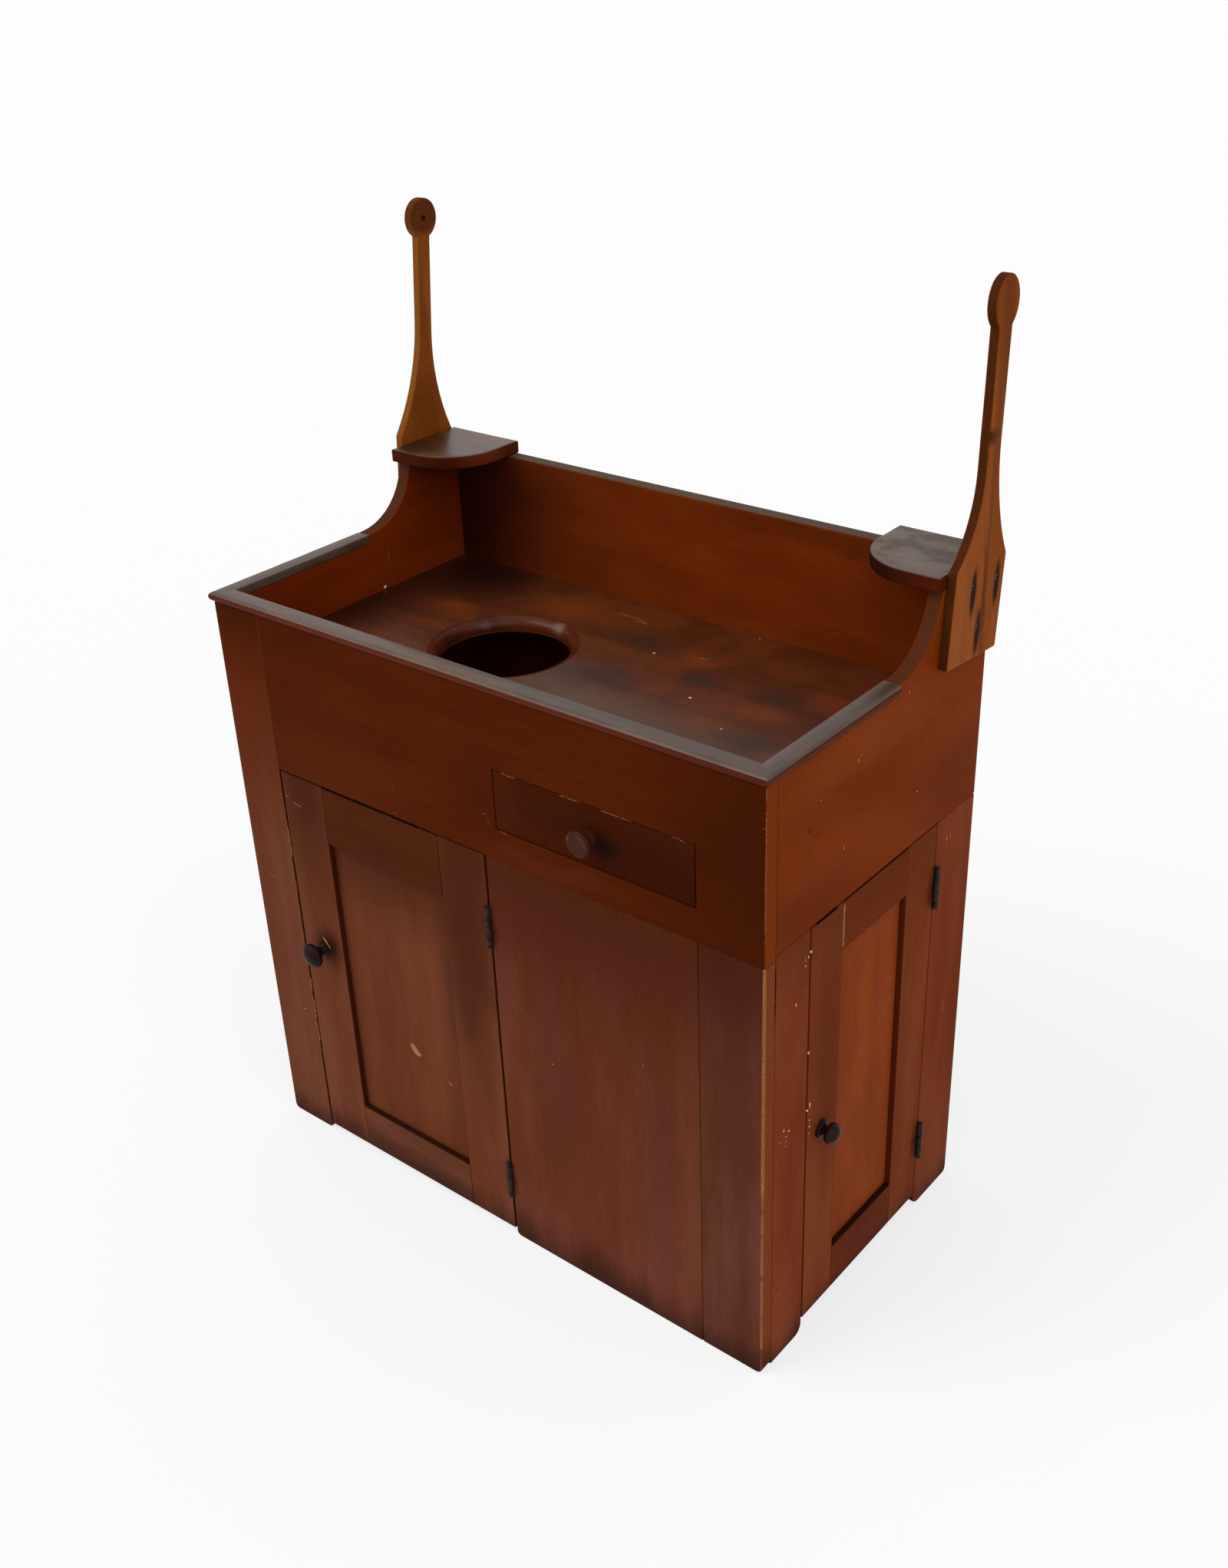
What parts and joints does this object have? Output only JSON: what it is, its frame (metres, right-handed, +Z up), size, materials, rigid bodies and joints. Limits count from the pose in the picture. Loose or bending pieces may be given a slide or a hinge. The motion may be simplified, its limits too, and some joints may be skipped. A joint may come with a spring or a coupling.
{
  "type": "washstand",
  "caption": "Country washstand in pine: deep tray with a round basin hole on a cupboard with front door, side door and drawer, corner shelves and tall towel arms.",
  "frame": {"origin": "on the floor, under the middle of the whole object's box", "axes": "+Z up, -Y is the front with the apron and drawer, +X is the side with the side door"},
  "size_m": [0.8572, 0.476, 1.2056],
  "materials": {
    "case_pine": "dark stained pine under worn varnish",
    "side_pine": "orange-brown stained pine under worn varnish",
    "door_pine": "red-brown stained pine under worn varnish",
    "tray_pine": "red-brown stained pine, satin",
    "tray_floor_pine": "dark mottled pine, semi-gloss",
    "drawer_pine": "dark stained pine, satin",
    "worn_pine": "grey-brown worn varnish",
    "honey_pine": "honey pine, satin varnish",
    "raw_pine": "unfinished aged pine",
    "dark_knob_wood": "blackened turned wood, satin",
    "red_knob_wood": "red stained turned wood, satin",
    "black_iron": "black iron, worn",
    "screw_iron": "rusted iron"
  },
  "bodies": {
    "case": {"front_left_stile": "case_pine", "front_apron": "case_pine", "front_panel": "door_pine", "front_right_stile": "case_pine", "right_upper_side": "side_pine", "side_front_stile": "side_pine", "side_rear_stile": "side_pine", "left_side": "case_pine", "backboard": "tray_pine", "back_lower_board": "raw_pine", "well_floor": "tray_floor_pine", "bottom_board": "raw_pine", "divider": "raw_pine", "drawer_runner_left": "raw_pine", "drawer_runner_right": "raw_pine", "rim_front": "worn_pine", "rim_left": "worn_pine", "rim_right": "worn_pine", "shelf_left": "worn_pine", "shelf_right": "worn_pine", "towel_arm_left": "honey_pine", "towel_arm_right": "honey_pine", "arm_screw_left_1": "screw_iron", "arm_screw_left_2": "screw_iron", "arm_screw_left_3": "screw_iron", "arm_screw_right_1": "screw_iron", "arm_screw_right_2": "screw_iron", "arm_screw_right_3": "screw_iron", "front_door_upper_hinge_case_leaf": "black_iron", "front_door_upper_hinge_pin": "black_iron", "front_door_lower_hinge_case_leaf": "black_iron", "front_door_lower_hinge_pin": "black_iron", "side_door_upper_hinge_case_leaf": "black_iron", "side_door_upper_hinge_pin": "black_iron", "side_door_lower_hinge_case_leaf": "black_iron", "side_door_lower_hinge_pin": "black_iron"},
    "front_door": {"front_door_latch_stile": "door_pine", "front_door_hinge_stile": "door_pine", "front_door_top_rail": "door_pine", "front_door_bottom_rail": "door_pine", "front_door_panel": "door_pine", "front_door_upper_hinge_door_leaf": "black_iron", "front_door_lower_hinge_door_leaf": "black_iron"},
    "front_door_latch": {"front_door_knob": "dark_knob_wood", "front_door_turn_button": "raw_pine"},
    "side_door": {"side_door_latch_stile": "side_pine", "side_door_hinge_stile": "side_pine", "side_door_top_rail": "side_pine", "side_door_bottom_rail": "side_pine", "side_door_panel": "side_pine", "side_door_upper_hinge_door_leaf": "black_iron", "side_door_lower_hinge_door_leaf": "black_iron"},
    "side_door_latch": {"side_door_knob": "dark_knob_wood", "side_door_turn_button": "raw_pine"},
    "drawer": {"drawer_front": "drawer_pine", "drawer_side_left": "raw_pine", "drawer_side_right": "raw_pine", "drawer_back": "raw_pine", "drawer_bottom": "raw_pine", "drawer_knob": "red_knob_wood"}
  },
  "joints": [
    {"name": "front_door_hinge", "type": "hinge", "parent": "case", "child": "front_door", "pos_m": [0.01545, -0.21227, 0.29], "axis": [0, 0, 1], "range_deg": [0, 170]},
    {"name": "side_door_hinge", "type": "hinge", "parent": "case", "child": "side_door", "pos_m": [0.40745, 0.14353, 0.3], "axis": [0, 0, 1], "range_deg": [0, 175]},
    {"name": "drawer_slide", "type": "slide", "parent": "case", "child": "drawer", "axis": [0, -1, 0], "range_m": [0, 0.28]},
    {"name": "front_door_knob_turn", "type": "hinge", "parent": "front_door", "child": "front_door_latch", "pos_m": [-0.29935, -0.20847, 0.326], "axis": [0, 1, 0], "range_deg": [0, 90]},
    {"name": "side_door_knob_turn", "type": "hinge", "parent": "side_door", "child": "side_door_latch", "pos_m": [0.40365, -0.09247, 0.297], "axis": [-1, 0, 0], "range_deg": [0, 90]}
  ]
}
